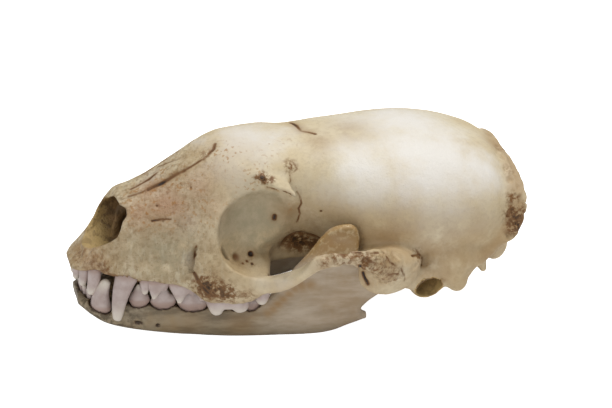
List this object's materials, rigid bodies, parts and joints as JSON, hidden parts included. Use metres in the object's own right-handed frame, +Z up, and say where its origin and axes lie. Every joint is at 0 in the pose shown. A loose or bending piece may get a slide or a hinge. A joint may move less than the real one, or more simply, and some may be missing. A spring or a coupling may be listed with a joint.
{
  "type": "stone marten skull",
  "caption": "Dry skull of a stone marten with its jaw closed: hollow braincase, cheekbones round the eye sockets, and separate teeth seated in the bone.",
  "frame": {"origin": "the middle of the skull's bounding box, on the surface that the jaw rests on", "axes": "+X from the snout to the back of the head, +Z up, and the animal's left side is -Y"},
  "size_m": [0.0799, 0.0464, 0.0346],
  "materials": {
    "dry_bone": "matte",
    "jaw_bone": "matte",
    "enamel": "satin"
  },
  "bodies": {
    "root": {"cranium": "dry_bone", "mandible_left": "jaw_bone", "mandible_right": "jaw_bone", "lower_canine_left": "enamel", "lower_canine_right": "enamel", "lower_incisor_1_left": "enamel", "lower_incisor_1_right": "enamel", "lower_incisor_2_left": "enamel", "lower_incisor_2_right": "enamel", "lower_incisor_3_left": "enamel", "lower_incisor_3_right": "enamel", "lower_molar_1_left": "enamel", "lower_molar_1_right": "enamel", "lower_molar_2_left": "enamel", "lower_molar_2_right": "enamel", "lower_premolar_1_left": "enamel", "lower_premolar_1_right": "enamel", "lower_premolar_2_left": "enamel", "lower_premolar_2_right": "enamel", "lower_premolar_3_left": "enamel", "lower_premolar_3_right": "enamel", "lower_premolar_4_left": "enamel", "lower_premolar_4_right": "enamel", "upper_canine_left": "enamel", "upper_canine_right": "enamel", "upper_incisor_1_left": "enamel", "upper_incisor_1_right": "enamel", "upper_incisor_2_left": "enamel", "upper_incisor_2_right": "enamel", "upper_incisor_3_left": "enamel", "upper_incisor_3_right": "enamel", "upper_molar_1_left": "enamel", "upper_molar_1_right": "enamel", "upper_premolar_1_left": "enamel", "upper_premolar_1_right": "enamel", "upper_premolar_2_left": "enamel", "upper_premolar_2_right": "enamel", "upper_premolar_3_left": "enamel", "upper_premolar_3_right": "enamel", "upper_premolar_4_left": "enamel", "upper_premolar_4_right": "enamel"}
  },
  "joints": []
}
